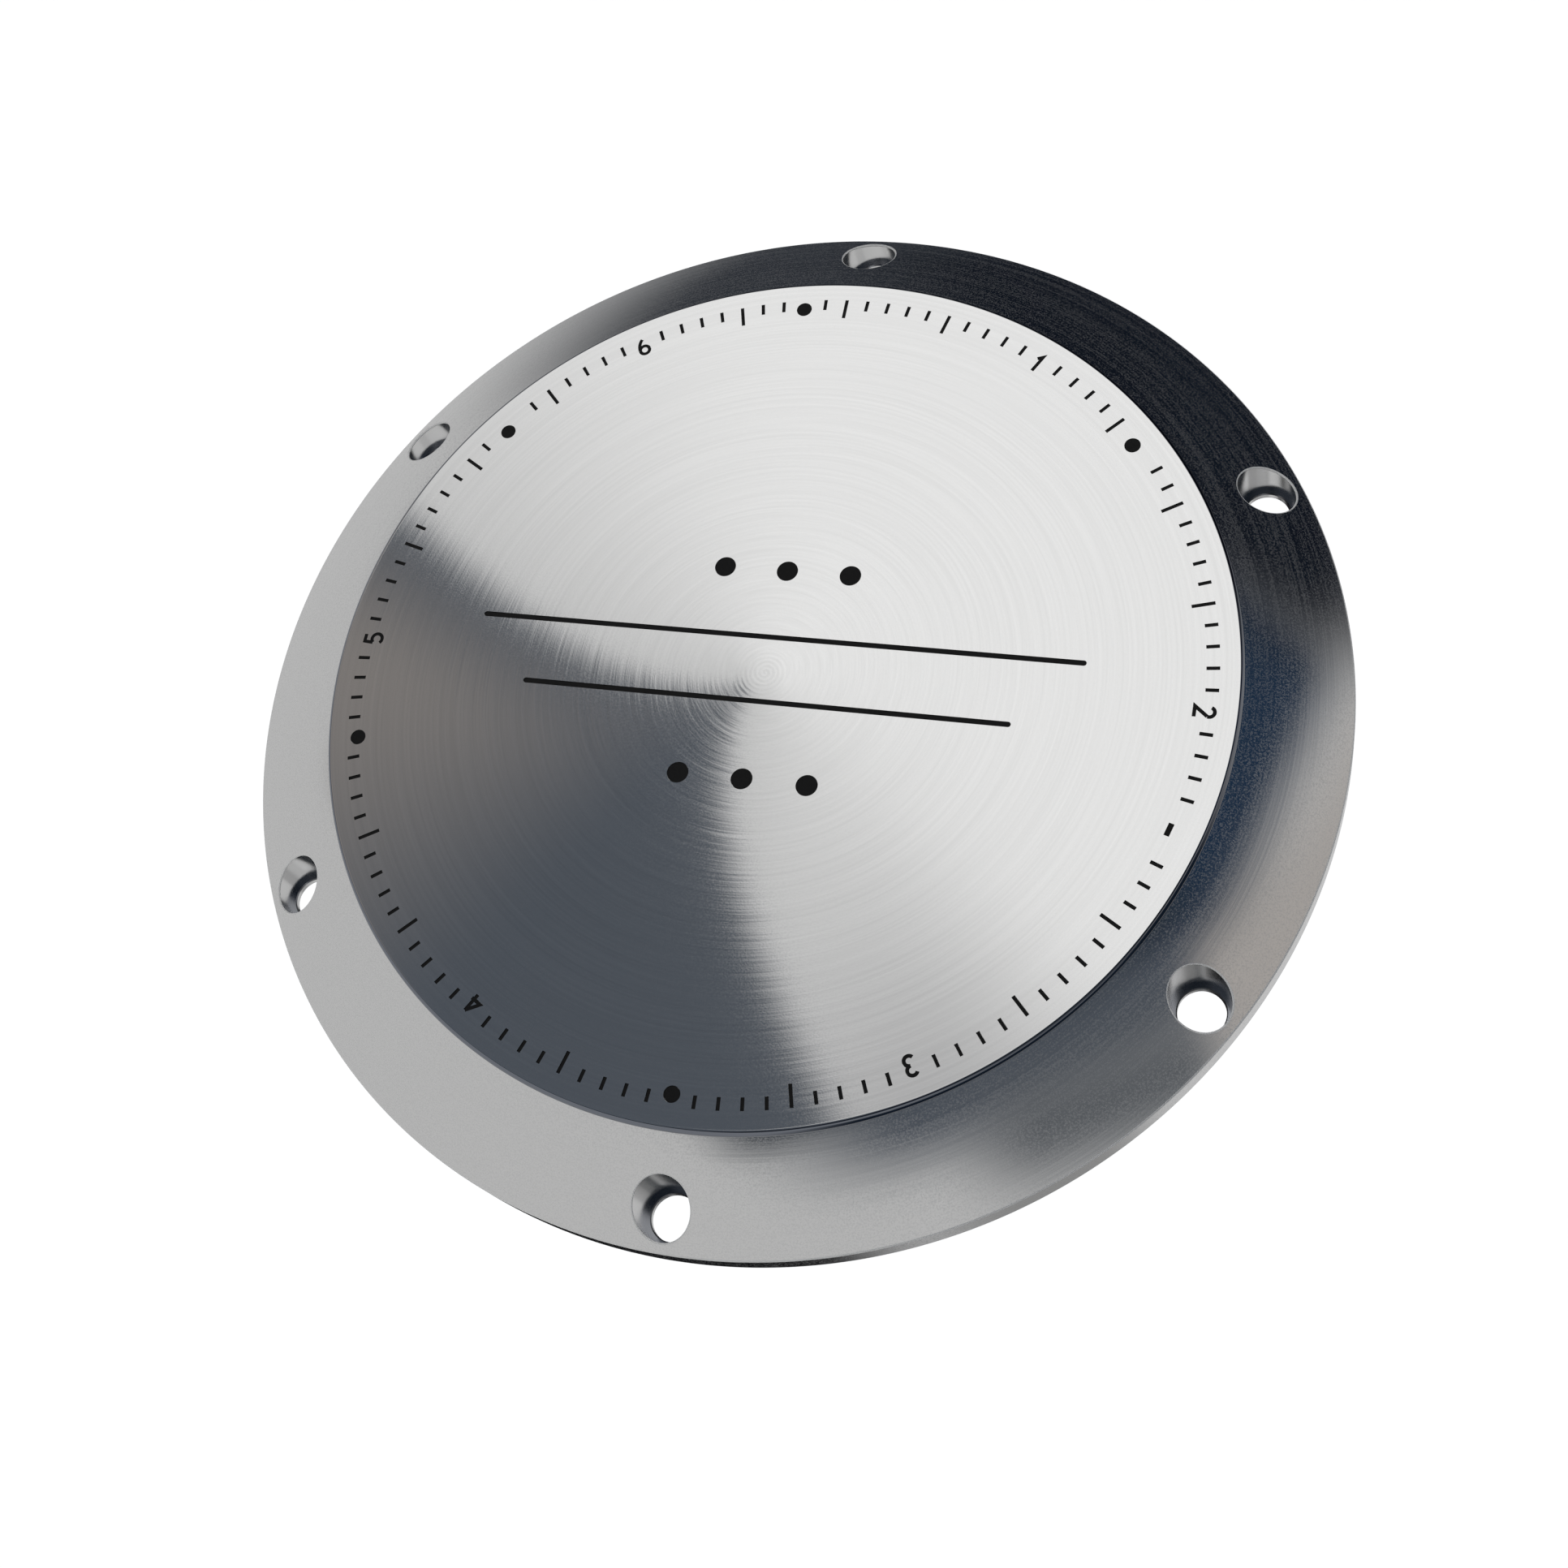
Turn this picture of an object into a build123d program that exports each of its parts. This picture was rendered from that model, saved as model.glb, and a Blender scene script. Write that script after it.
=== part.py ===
from build123d import *
import math
import os

# Screw-down case back of a wrist watch, in millimetres: a turned steel cover, its rubber gasket and
# the black lacquer in its engraved marks. Z is the turning axis and points out of the watch. The
# origin lies on the seat plane, the flat underside of the flange that meets the watch case.

# Whole cover
overall_diameter = 40.0
face_height = 3.35
plate_thickness = 1.4

# Flange: a slightly crowned cone that falls from the disc's step to a thin upright rim
flange_width = 3.6
flange_crown = 0.1
rim_height = 1.08
rim_edge_radius = 0.1
seat_edge_chamfer = 0.08

# Raised disc, as wide as the flange leaves it
disc_step_height = 0.22
disc_edge_radius = 0.18

# Stepped screw holes
screw_count = 6
screw_edge_distance = 1.35
screw_hole_diameter = 1.6
counterbore_diameter = 2.0
counterbore_web = 0.28
counterbore_edge_radius = 0.05
screw_hole_edge_break = 0.04
first_screw_angle = 90.0

# Gasket and its groove in the seat plane, with the land between the groove and the screw holes
groove_land = 0.75
gasket_width = 0.9
gasket_thickness = 0.78
gasket_bead_radius = 0.3
gasket_side_clearance = 0.1
gasket_proud_height = 0.18

# Register spigot that centres the cover in the case, a shoulder inside the groove, and its recess
spigot_shoulder = 0.5
spigot_height = 1.2
spigot_wall = 1.2
spigot_chamfer = 0.15
spigot_relief_height = 0.3
spigot_relief_depth = 0.25
recess_corner_radius = 0.6

# Engraved marks, each a pocket in the disc's face with black lacquer in it
mark_depth = 0.12
lacquer_drop = 0.02
lacquer_gap = 0.01
stroke_width = 0.13
ring_mark_inset = 1.2
ring_mark_height = 0.8
ring_dot_diameter = 0.58
ring_dot_angles = (41.0, 96.0, 143.2, 195.1, 270.0)
ring_dash_angle = -16.3
ring_dash_length = 0.46
ring_dash_width = 0.19
centre_dot_diameter = 0.78
centre_dot_pitch = 2.33
centre_dot_row_height = 4.04
rule_width = 0.2
rule_lengths = (22.2, 17.8)
rule_heights = (1.4, -1.1)

# Graduated scale between the ring's dots
tick_count = 120
ticks_per_long_tick = 5
short_tick_length = 0.45
mark_spacing = 0.3

# One overrun lets every cutter reach past the face that it opens
overrun = 1.0
outwards = (0, 0, 1)

# How near two sizes must be to count as the same when an edge is looked for
size_match_share = 0.01

# Worked-out sizes
overall_radius = overall_diameter / 2
disc_radius = overall_radius - flange_width
cone_top = face_height - disc_step_height
screw_circle_radius = overall_radius - screw_edge_distance
groove_outer_radius = screw_circle_radius - screw_hole_diameter / 2 - groove_land
gasket_outer_radius = groove_outer_radius - gasket_side_clearance
gasket_inner_radius = gasket_outer_radius - gasket_width
groove_inner_radius = gasket_inner_radius - gasket_side_clearance
groove_depth = gasket_thickness - gasket_proud_height
spigot_radius = groove_inner_radius - spigot_shoulder
recess_radius = spigot_radius - spigot_wall
recess_ceiling = face_height - plate_thickness
ring_mark_radius = disc_radius - ring_mark_inset
pocket_floor = face_height - mark_depth
lacquer_height = mark_depth - lacquer_drop
numeral_height = ring_mark_height - stroke_width

# Numerals: the centre lines of each, as strokes in shares of the numeral's height. A line stroke lists
# its points, and an arc stroke its centre, its radius, its start angle and its sweep in degrees.
numeral_half_width_share = 0.32
numeral_line_shares = {
    1: [[(-0.2, 0.26), (0.02, 0.5), (0.02, -0.5)]],
    2: [[(0.24, 0.16), (-0.28, -0.5), (0.3, -0.5)]],
    3: [],
    4: [[(0.3, -0.2), (-0.32, -0.2), (0.14, 0.5)], [(0.14, 0.5), (0.14, -0.5)]],
    5: [[(0.24, 0.5), (-0.2, 0.5), (-0.24, 0.0)]],
    6: [],
}
numeral_arc_shares = {
    1: [],
    2: [((0.0, 0.24), 0.26, 160, -178)],
    3: [((0.0, 0.25), 0.25, 150, -240), ((0.0, -0.25), 0.25, 90, -240)],
    4: [],
    5: [((0.0, -0.2), 0.3, 138, -276)],
    6: [((0.0, -0.23), 0.27, 0, 180), ((0.0, -0.23), 0.27, 180, 180), ((0.6, -0.17), 0.87, 129, 54)],
}


def corner(section, radius, height):
    """The section's corner nearest to a radius and a height."""
    return section.vertices().sort_by_distance((radius, height))[0]


def turned(section):
    """Revolves a half section, drawn as radius and height, about the Z axis."""
    return revolve(Plane.XZ * section, Axis.Z)


def around(shape, angle, radius):
    """Places a flat shape on the marks' circle, with its top pointing outwards."""
    return Rot(0, 0, angle - 90) * Pos(0, radius) * shape


def cover_section():
    """Half section of the cover before its groove and holes: disc, flange, rim, spigot and recess."""
    relief_radius = spigot_radius - spigot_relief_depth
    crown_top = ((disc_radius + overall_radius) / 2, (cone_top + rim_height) / 2 + flange_crown)
    outline = Polyline(
        (disc_radius, cone_top),
        (disc_radius, face_height),
        (0, face_height),
        (0, recess_ceiling),
        (recess_radius, recess_ceiling),
        (recess_radius, -spigot_height),
        (spigot_radius, -spigot_height),
        (spigot_radius, -spigot_relief_height),
        (relief_radius, -spigot_relief_height),
        (relief_radius, 0),
        (overall_radius, 0),
        (overall_radius, rim_height),
    )
    outline += ThreePointArc((overall_radius, rim_height), crown_top, (disc_radius, cone_top))
    section = make_face(outline)
    section = fillet(corner(section, disc_radius, face_height), disc_edge_radius)
    section = fillet(corner(section, overall_radius, rim_height), rim_edge_radius)
    section = fillet(corner(section, recess_radius, recess_ceiling), recess_corner_radius)
    section = chamfer(corner(section, overall_radius, 0), seat_edge_chamfer)
    section = chamfer(corner(section, spigot_radius, -spigot_height), spigot_chamfer)
    section = chamfer(corner(section, recess_radius, -spigot_height), spigot_chamfer)
    return section


def screw_hole():
    """One stepped hole: a clearance hole with broken edges under a counterbore open to the flange."""
    hole_radius = screw_hole_diameter / 2
    broken_radius = hole_radius + screw_hole_edge_break
    counterbore_radius = counterbore_diameter / 2
    outline = Polyline(
        (0, -overrun),
        (broken_radius, -overrun),
        (broken_radius, 0),
        (hole_radius, screw_hole_edge_break),
        (hole_radius, counterbore_web - screw_hole_edge_break),
        (broken_radius, counterbore_web),
        (counterbore_radius, counterbore_web),
        (counterbore_radius, face_height),
        (0, face_height),
        close=True,
    )
    return turned(make_face(outline))


def round_counterbore_edges(cover):
    """Rounds the sharp edge that each counterbore leaves on the flange."""
    mouths = []
    for edge in cover.edges():
        box = edge.bounding_box()
        middle = box.center()
        as_wide_as_counterbore = math.isclose(box.size.X, counterbore_diameter, rel_tol=size_match_share)
        above_floor = box.min.Z > counterbore_web + counterbore_edge_radius
        off_axis = math.hypot(middle.X, middle.Y) > disc_radius
        if as_wide_as_counterbore and above_floor and off_axis:
            mouths.append(edge)
    return fillet(mouths, counterbore_edge_radius)


def dot(diameter, ease):
    """A round mark, made smaller all round by the ease."""
    return Circle(diameter / 2 - ease)


def bar(width, length, ease):
    """A straight mark with square ends, made smaller all round by the ease."""
    return Rectangle(width - 2 * ease, length - 2 * ease)


def rule(length, ease):
    """A long plain line with rounded ends, made smaller all round by the ease."""
    return SlotOverall(length - 2 * ease, rule_width - 2 * ease)


def numeral(number, ease):
    """A plain numeral drawn with one stroke width, which the ease makes thinner."""
    strokes = []
    for points in numeral_line_shares[number]:
        strokes.append(Polyline([(x * numeral_height, y * numeral_height) for x, y in points]))
    for (x, y), radius, start, sweep in numeral_arc_shares[number]:
        centre = (x * numeral_height, y * numeral_height)
        strokes.append(CenterArc(centre, radius * numeral_height, start, sweep))
    shape = Sketch()
    for stroke in strokes:
        shape += trace(stroke, stroke_width - 2 * ease)
    return shape


def screw_angles():
    """The angle of each screw hole, clockwise from the first as seen from outside."""
    return [first_screw_angle - index * 360 / screw_count for index in range(screw_count)]


def numeral_angles():
    """The angle of each numeral, half way from one screw hole to the next."""
    return [angle - 180 / screw_count for angle in screw_angles()]


def distance_along_ring(first, second):
    """How far apart two directions lie along the marks' circle."""
    return math.radians(abs((first - second + 180) % 360 - 180)) * ring_mark_radius


def tick_marks():
    """Each tick of the scale as its angle and its length, left out where another mark stands."""
    numeral_half_width = numeral_half_width_share * numeral_height + stroke_width / 2
    taken = [(angle, ring_dot_diameter / 2) for angle in ring_dot_angles]
    taken.append((ring_dash_angle, ring_dash_length / 2))
    taken += [(angle, numeral_half_width) for angle in numeral_angles()]
    room = mark_spacing + stroke_width / 2
    ticks = []
    for index in range(tick_count):
        angle = index * 360 / tick_count
        if all(distance_along_ring(angle, other) > half_width + room for other, half_width in taken):
            is_long = index % ticks_per_long_tick == 0
            ticks.append((angle, ring_mark_height if is_long else short_tick_length))
    return ticks


def mark_shapes(ease):
    """Every engraved mark as a flat shape, grouped by the node that its lacquer belongs to."""
    centre_dot_places = [
        (column * centre_dot_pitch, row * centre_dot_row_height) for row in (1, -1) for column in (-1, 0, 1)
    ]
    return {
        "ring_dot_infill": [
            around(dot(ring_dot_diameter, ease), angle, ring_mark_radius) for angle in ring_dot_angles
        ],
        "ring_dash_infill": [
            around(bar(ring_dash_length, ring_dash_width, ease), ring_dash_angle, ring_mark_radius)
        ],
        "scale_tick_infill": [
            around(
                bar(stroke_width, length, ease),
                angle,
                ring_mark_radius + (ring_mark_height - length) / 2,
            )
            for angle, length in tick_marks()
        ],
        "sector_number_infill": [
            around(numeral(index + 1, ease), angle, ring_mark_radius)
            for index, angle in enumerate(numeral_angles())
        ],
        "centre_dot_infill": [
            Pos(x, y) * dot(centre_dot_diameter, ease) for x, y in centre_dot_places
        ],
        "centre_rule_infill": [
            Pos(0, height) * rule(length, ease) for length, height in zip(rule_lengths, rule_heights)
        ],
    }


def raised(shape, height):
    """A mark's flat shape made a solid of that height, standing on the pockets' floors."""
    return Pos(0, 0, pocket_floor) * extrude(shape, height, dir=outwards)


def case_back_cover():
    """The turned cover with its gasket groove, its screw holes and the pockets of its marks."""
    cover = turned(cover_section())
    groove = Rectangle(
        groove_outer_radius - groove_inner_radius, groove_depth + overrun, align=(Align.MIN, Align.MAX)
    )
    cover -= turned(Pos(groove_inner_radius, groove_depth) * groove)
    cover -= [Rot(0, 0, angle) * Pos(screw_circle_radius) * screw_hole() for angle in screw_angles()]
    cover = round_counterbore_edges(cover)
    pockets = []
    for shapes in mark_shapes(0).values():
        pockets += [raised(shape, mark_depth + overrun) for shape in shapes]
    return cover - pockets


def case_back_gasket():
    """The sealing ring: flat where it seats in the groove, rounded where it meets the case."""
    section = Pos(gasket_inner_radius, groove_depth) * Rectangle(
        gasket_width, gasket_thickness, align=(Align.MIN, Align.MAX)
    )
    for radius in (gasket_inner_radius, gasket_outer_radius):
        section = fillet(corner(section, radius, -gasket_proud_height), gasket_bead_radius)
    return turned(section)


def lacquer(shapes):
    """The lacquer that fills a group of marks, standing on the pockets' floors."""
    return Compound([solid for shape in shapes for solid in raised(shape, lacquer_height).solids()])


os.makedirs("parts", exist_ok=True)
nodes = {"case_back_cover": case_back_cover(), "case_back_gasket": case_back_gasket()}
for name, shapes in mark_shapes(lacquer_gap).items():
    nodes[name] = lacquer(shapes)
for name, shape in nodes.items():
    export_step(shape, f"parts/{name}.step")
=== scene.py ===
import math

import bpy
import numpy as np
from bpy.props import FloatProperty, FloatVectorProperty, IntProperty, PointerProperty
from bpy.types import Operator, Panel, PropertyGroup
from mathutils import Euler, Matrix, Vector
from mathutils.geometry import delaunay_2d_cdt


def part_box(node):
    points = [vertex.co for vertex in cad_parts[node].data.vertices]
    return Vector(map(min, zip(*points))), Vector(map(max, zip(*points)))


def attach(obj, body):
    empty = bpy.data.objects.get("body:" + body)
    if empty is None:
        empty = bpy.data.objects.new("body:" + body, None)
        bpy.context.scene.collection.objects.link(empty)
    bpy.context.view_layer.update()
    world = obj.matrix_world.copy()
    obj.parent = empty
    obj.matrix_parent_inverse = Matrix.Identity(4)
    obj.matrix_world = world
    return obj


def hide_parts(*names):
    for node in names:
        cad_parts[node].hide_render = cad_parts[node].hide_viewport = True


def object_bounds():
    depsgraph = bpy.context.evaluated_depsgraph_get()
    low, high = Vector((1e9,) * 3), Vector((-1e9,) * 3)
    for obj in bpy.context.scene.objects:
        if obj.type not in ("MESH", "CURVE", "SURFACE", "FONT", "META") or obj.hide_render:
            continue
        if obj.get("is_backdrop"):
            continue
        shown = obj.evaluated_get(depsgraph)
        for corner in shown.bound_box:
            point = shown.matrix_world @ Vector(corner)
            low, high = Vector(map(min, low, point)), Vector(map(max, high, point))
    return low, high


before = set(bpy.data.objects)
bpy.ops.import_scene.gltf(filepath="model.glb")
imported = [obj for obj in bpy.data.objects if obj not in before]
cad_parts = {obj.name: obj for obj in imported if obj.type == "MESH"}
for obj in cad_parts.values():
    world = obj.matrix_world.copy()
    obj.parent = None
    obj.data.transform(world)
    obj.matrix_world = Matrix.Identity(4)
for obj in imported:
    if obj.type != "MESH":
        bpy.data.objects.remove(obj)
cad_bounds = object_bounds()

bl_info = {
    "name": "Watch case back",
    "version": (1, 0, 0),
    "blender": (4, 5, 0),
    "location": "View3D > Sidebar > Case back",
    "description": "Dresses a turned steel case back, its gasket and its lacquered marks",
    "category": "Object",
}

# Millimetres in metres, so that a size below reads as it does on a drawing
MM = 0.001

# The cover's own box gives its height, its width and how far its spigot reaches down
COVER_LOW, COVER_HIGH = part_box("case_back_cover")


def length(name, millimetres, description):
    """A property that holds one length of the object, given in millimetres."""
    return FloatProperty(
        name=name, default=millimetres * MM, precision=5, unit="LENGTH", description=description
    )


def linear(hex_colour):
    """An sRGB colour such as #DADAD9 in linear light, with alpha 1."""
    shares = [int(hex_colour[i:i + 2], 16) / 255 for i in (1, 3, 5)]
    light = [c / 12.92 if c <= 0.04045 else ((c + 0.055) / 1.055) ** 2.4 for c in shares]
    return tuple(light) + (1.0,)


def colour(name, hex_colour, description):
    """A property that holds one colour, given as it looks on screen."""
    return FloatVectorProperty(
        name=name, subtype="COLOR", size=3, min=0.0, max=1.0, default=linear(hex_colour)[:3],
        description=description,
    )


class CoverSizes(PropertyGroup):
    """The turned steel cover, from its rim to its centre."""

    overall_diameter: length("Overall diameter", (COVER_HIGH[0] - COVER_LOW[0]) / MM, "Across the rim")
    face_height: length("Face height", COVER_HIGH[2] / MM, "From the seat plane to the disc's face")
    spigot_height: length("Spigot height", -COVER_LOW[2] / MM, "From the seat plane to its lower end")
    plate_thickness: length("Plate thickness", 1.4, "Steel between the disc's face and the recess")
    flange_width: length("Flange width", 3.6, "From the rim in to the disc's step")
    flange_crown: length("Flange crown", 0.1, "How far the flange bulges over a straight cone")
    rim_height: length("Rim height", 1.08, "From the seat plane to the flange's edge")
    rim_edge_radius: length("Rim edge radius", 0.1, "Round of the edge between rim and flange")
    seat_edge_chamfer: length("Seat edge chamfer", 0.08, "Broken edge under the rim")
    disc_step_height: length("Disc step height", 0.22, "How far the disc stands above the flange")
    disc_edge_radius: length("Disc edge radius", 0.18, "Round of the disc's edge")
    spigot_shoulder: length("Spigot shoulder", 0.5, "Seat plane between spigot and groove")
    spigot_wall: length("Spigot wall", 1.2, "Thickness of the spigot's ring")
    spigot_chamfer: length("Spigot chamfer", 0.15, "Broken edges at the spigot's end")
    spigot_relief_height: length("Relief height", 0.3, "Height of the turned relief over the spigot")
    spigot_relief_depth: length("Relief depth", 0.25, "How far the relief is cut in")
    recess_corner_radius: length("Recess corner radius", 0.6, "Round in the recess's corner")


class HoleSizes(PropertyGroup):
    """The stepped screw holes in the flange."""

    screw_count: IntProperty(name="Screw count", default=6, description="Screw holes, evenly spaced")
    screw_edge_distance: length("Edge distance", 1.35, "From the rim in to a hole's axis")
    screw_hole_diameter: length("Screw hole", 1.6, "Clearance hole for the screw")
    counterbore_diameter: length("Counterbore", 2.0, "Round seat for the screw's head")
    counterbore_web: length("Counterbore web", 0.28, "Steel left under the screw's head")
    counterbore_edge_radius: length("Mouth radius", 0.05, "Round of the mouth's edge on the flange")
    screw_hole_edge_break: length("Edge break", 0.04, "Broken edges of the clearance hole")


class GasketSizes(PropertyGroup):
    """The rubber ring and the groove that it lies in."""

    groove_land: length("Groove land", 0.75, "Seat plane between the groove and the screw holes")
    gasket_width: length("Gasket width", 0.9, "Across the ring's section")
    gasket_thickness: length("Gasket thickness", 0.78, "Height of the ring's section")
    gasket_bead_radius: length("Bead radius", 0.3, "Round of the ring's sealing edges")
    gasket_side_clearance: length("Side clearance", 0.1, "From the ring to the groove's walls")
    gasket_proud_height: length("Proud height", 0.18, "How far the ring stands out of the groove")


class MarkSizes(PropertyGroup):
    """The engraved marks in the disc's face and the lacquer in them."""

    mark_depth: length("Mark depth", 0.12, "Depth of an engraved mark")
    lacquer_drop: length("Lacquer drop", 0.02, "How far the lacquer lies below the face")
    lacquer_gap: length("Lacquer gap", 0.01, "From the lacquer to the mark's wall")
    stroke_width: length("Stroke width", 0.13, "Width of the ticks and numerals")
    ring_mark_inset: length("Ring inset", 1.2, "From the disc's edge to the middle of the ring's marks")
    ring_mark_height: length("Ring mark height", 0.8, "Height of a numeral or a long tick")
    short_tick_length: length("Short tick", 0.45, "Length of a short tick")
    ring_dot_diameter: length("Ring dot", 0.58, "Across a dot of the ring")
    ring_dash_length: length("Ring dash length", 0.46, "Length of the ring's dash")
    ring_dash_width: length("Ring dash width", 0.19, "Width of the ring's dash")
    centre_dot_diameter: length("Centre dot", 0.78, "Across a dot of the two middle rows")
    centre_dot_pitch: length("Centre dot pitch", 2.33, "From one dot of a row to the next")
    centre_dot_row_height: length("Row height", 4.04, "From the middle to a row of dots")
    rule_width: length("Rule width", 0.2, "Width of the plain rules")
    mark_spacing: length("Mark spacing", 0.3, "Room kept between a tick and another mark")
    tick_count: IntProperty(name="Ticks", default=120, description="Divisions of the graduated scale")
    ticks_per_long_tick: IntProperty(name="Long tick every", default=5, description="Long tick spacing")


class Finishes(PropertyGroup):
    """Colours of the steel, the lacquer and the rubber."""

    steel: colour("Steel", "#DADAD9", "Reflection colour of the turned steel")
    # Painted highlight: the near-white colour of the rubbed edges stands in for the pale line of light
    # along a broken edge
    broken_edge_highlight: colour("Broken edge", "#FAFAF8", "Steel where an edge was rubbed matt and clean")
    # Painted shade: the darker, bluish grey of the disc's step stands in for the shade where the step
    # meets the flange
    step_shade: colour("Turned step", "#7C8088", "Steel of the disc's step, which the brush missed")
    # Painted shade: the darker grey of the counterbores' floors stands in for the shade in the recess
    # under the screw's head
    counterbore_floor_shade: colour("Counterbore floor", "#8F9196", "Steel darkened under the end mill")
    lacquer: colour("Lacquer", "#111111", "Black lacquer in the marks")
    rubber: colour("Rubber", "#1A1A1A", "Nitrile rubber of the gasket")


class StageSettings(PropertyGroup):
    """Camera and floor."""

    lens: FloatProperty(name="Lens", default=47.21, description="Focal length on a 36 mm wide sensor")
    camera_location: FloatVectorProperty(
        name="Camera", subtype="TRANSLATION", size=3, precision=6,
        default=(20.967 * MM, -28.347 * MM, 66.215 * MM),
        description="Where the photograph was taken from",
    )
    camera_turn: FloatVectorProperty(
        name="Camera turn", subtype="EULER", size=3,
        default=(math.radians(23.2461), math.radians(12.7057), math.radians(11.5635)),
        description="How the camera is turned",
    )
    floor_drop: length("Floor drop", 150, "From the seat plane down to the floor")


def settings(name):
    """One of the property groups, as it hangs on the scene."""
    return getattr(bpy.context.scene, name)


# Turned shapes, built from numpy grids

# Corners closer than this many nanometres are one vertex
WELD = 5.0

# How finely the shapes are cut: segments round the cover, steps along a small round, along a narrow
# strip and across the recess's ceiling, corners of a dot, and points round the end of a rule
SEGMENTS = 600
ROUND_STEPS = 6
STRIP_STEPS = 2
CEILING_STEPS = 4
DOT_CORNERS = 48
RULE_END_POINTS = 13

# Each screw hole has a square patch of the flange to itself: segments from its middle to its side,
# rows across it, rings from the hole to its border, and the shares of the flange's width where it lies
PATCH_HALF_SEGMENTS = 9
PATCH_ROWS = 14
PATCH_RINGS = 4
PATCH_INNER_SHARE = 0.32
PATCH_OUTER_SHARE = 0.965

# Places of the materials in the cover's own list: the rubbed edges carry a painted highlight, and the
# step and the milled counterbore floors painted shade
BRUSHED, POLISHED, DRILLED, MILLED_SHADE, RUBBED_HIGHLIGHT, STEP = range(6)

# Up to this angle over the level, in degrees, the round of the disc's edge keeps the step's darker
# colour, painted shade
STEP_TURN = 74


def unit(vectors):
    """Each vector divided by its own length."""
    return vectors / np.linalg.norm(vectors, axis=-1, keepdims=True)


def spokes(angle):
    """The direction (cos a, sin a) of each angle a."""
    return np.stack([np.cos(angle), np.sin(angle)], axis=-1)


def circle(count):
    """The directions (cos a, sin a) at even steps of a, all the way round from +X."""
    return spokes(np.arange(count) * math.tau / count)


def raised(flat, height):
    """Places or directions (x, y) made (x, y, height), with one height for all of them or for each."""
    return np.concatenate([flat, np.broadcast_to(height, flat.shape[:-1] + (1,))], axis=-1)


def line(start, end, steps=1):
    """Even points start + (end - start) x share along a straight stretch of a half section, with the
    outward side on the right."""
    start, end = np.array(start, float), np.array(end, float)
    share = np.linspace(0, 1, steps + 1)[:, None]
    points = start + (end - start) * share
    run = (end - start) / np.linalg.norm(end - start)
    return points, np.tile((run[1], -run[0]), (steps + 1, 1))


def arc(centre, radius, start, end, steps, hollow=False):
    """Points of a circular arc, centre + radius x (cos, sin); a hollow one faces its own centre."""
    facing = spokes(np.radians(np.linspace(start, end, steps + 1)))
    return np.array(centre) + radius * facing, -facing if hollow else facing


def quads(points, normals, wraps=False, keep=None, finish=0):
    """Cuts a grid of points into four-cornered faces that carry the true surface direction."""
    if wraps:
        points = np.concatenate([points, points[:, :1]], axis=1)
        normals = np.concatenate([normals, normals[:, :1]], axis=1)
    around = [np.s_[:-1, :-1], np.s_[1:, :-1], np.s_[1:, 1:], np.s_[:-1, 1:]]
    corners = np.stack([points[part] for part in around], axis=2)
    directions = np.stack([normals[part] for part in around], axis=2)
    chosen = np.ones(corners.shape[:2], bool) if keep is None else keep
    return corners[chosen], directions[chosen], finish


def turned(stretch, segments, finish=0):
    """Turns a stretch of half section about Z: (r, z) becomes (r cos a, r sin a, z)."""
    spun = [raised(pairs[:, None, :1] * circle(segments), pairs[:, None, 1:]) for pairs in stretch]
    return quads(*spun, wraps=True, finish=finish)


def build_piece(name, surfaces, finishes):
    """Welds surfaces into one closed mesh object whose corners keep their true directions."""
    corners = np.concatenate([surface[0] for surface in surfaces])
    directions = np.concatenate([surface[1] for surface in surfaces])
    finish = np.concatenate([np.full(len(surface[0]), surface[2]) for surface in surfaces])
    across = np.cross(corners[:, 2] - corners[:, 0], corners[:, 3] - corners[:, 1])
    inside_out = np.einsum("ij,ij->i", across, directions.sum(axis=1)) < 0
    corners[inside_out] = corners[inside_out][:, ::-1]
    directions[inside_out] = directions[inside_out][:, ::-1]
    cells = np.round(corners.reshape(-1, 3) * 1e9 / WELD).astype(np.int64)
    _, first, ids = np.unique(cells, axis=0, return_index=True, return_inverse=True)
    ids = ids.reshape(-1, 4)
    distinct = ids != np.roll(ids, 1, axis=1)
    whole = distinct.sum(axis=1) >= 3
    ids, distinct, directions, finish = ids[whole], distinct[whole], directions[whole], finish[whole]
    rows = zip(ids.tolist(), distinct.tolist())
    faces = [[i for i, used in zip(row, mask) if used] for row, mask in rows]
    mesh = bpy.data.meshes.new(name)
    mesh.from_pydata(corners.reshape(-1, 3)[first].tolist(), [], faces)
    mesh.polygons.foreach_set("material_index", finish.astype(np.int32))
    mesh.polygons.foreach_set("use_smooth", np.ones(len(faces), bool))
    mesh.normals_split_custom_set(unit(directions[distinct]).tolist())
    for material in finishes:
        mesh.materials.append(material)
    piece = bpy.data.objects.new(name, mesh)
    bpy.context.scene.collection.objects.link(piece)
    return piece


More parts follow.
